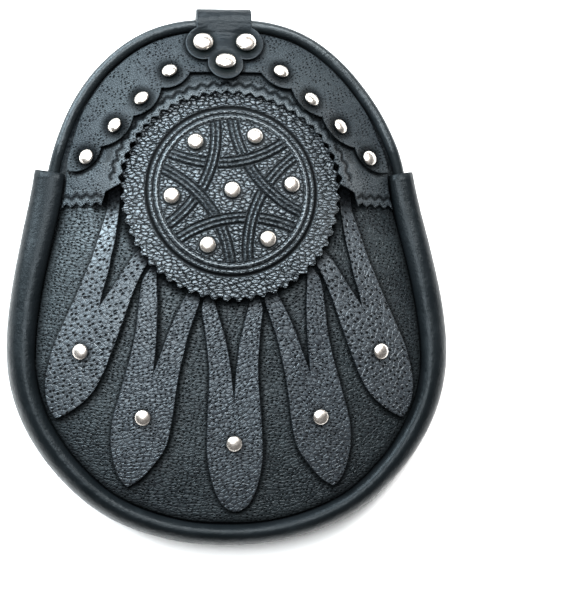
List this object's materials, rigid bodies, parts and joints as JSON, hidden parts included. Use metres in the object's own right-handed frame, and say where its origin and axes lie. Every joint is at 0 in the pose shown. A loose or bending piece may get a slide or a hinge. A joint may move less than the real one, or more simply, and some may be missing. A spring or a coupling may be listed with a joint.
{
  "type": "sporran pouch",
  "caption": "Hollow leather belt pouch with a rounded gusset, pinked flap, tooled interlace medallion, forked leather feathers and domed rivets, worn at the front of a kilt",
  "frame": {"origin": "centre of the footprint, on the surface that the pouch lies on", "axes": "+Z is the front of the pouch, which lies on its back; +Y runs up to the hinged top edge; +X runs to the right seen from the front"},
  "size_m": [0.1831, 0.222, 0.0423],
  "materials": {
    "grained_leather": "pebbled",
    "tooled_leather": "tooled",
    "smooth_leather": "smooth",
    "nickel": "polished"
  },
  "bodies": {
    "root": {"back_panel": "smooth_leather", "band_rivet_left_1": "nickel", "band_rivet_left_2": "nickel", "band_rivet_left_3": "nickel", "band_rivet_left_4": "nickel", "band_rivet_right_1": "nickel", "band_rivet_right_2": "nickel", "band_rivet_right_3": "nickel", "band_rivet_right_4": "nickel", "feather_centre": "grained_leather", "feather_mid_left": "grained_leather", "feather_mid_right": "grained_leather", "feather_outer_left": "grained_leather", "feather_outer_right": "grained_leather", "feather_rivet_centre": "nickel", "feather_rivet_mid_left": "nickel", "feather_rivet_mid_right": "nickel", "feather_rivet_outer_left": "nickel", "feather_rivet_outer_right": "nickel", "flap": "grained_leather", "front_panel": "grained_leather", "gusset_rim": "smooth_leather", "hanger_tab": "smooth_leather", "medallion": "tooled_leather", "medallion_rivet_1": "nickel", "medallion_rivet_2": "nickel", "medallion_rivet_3": "nickel", "medallion_rivet_4": "nickel", "medallion_rivet_5": "nickel", "medallion_rivet_6": "nickel", "medallion_rivet_centre": "nickel", "scalloped_band": "grained_leather", "tab_rivet_1": "nickel", "tab_rivet_2": "nickel", "tab_rivet_3": "nickel", "top_piping": "smooth_leather"}
  },
  "joints": []
}
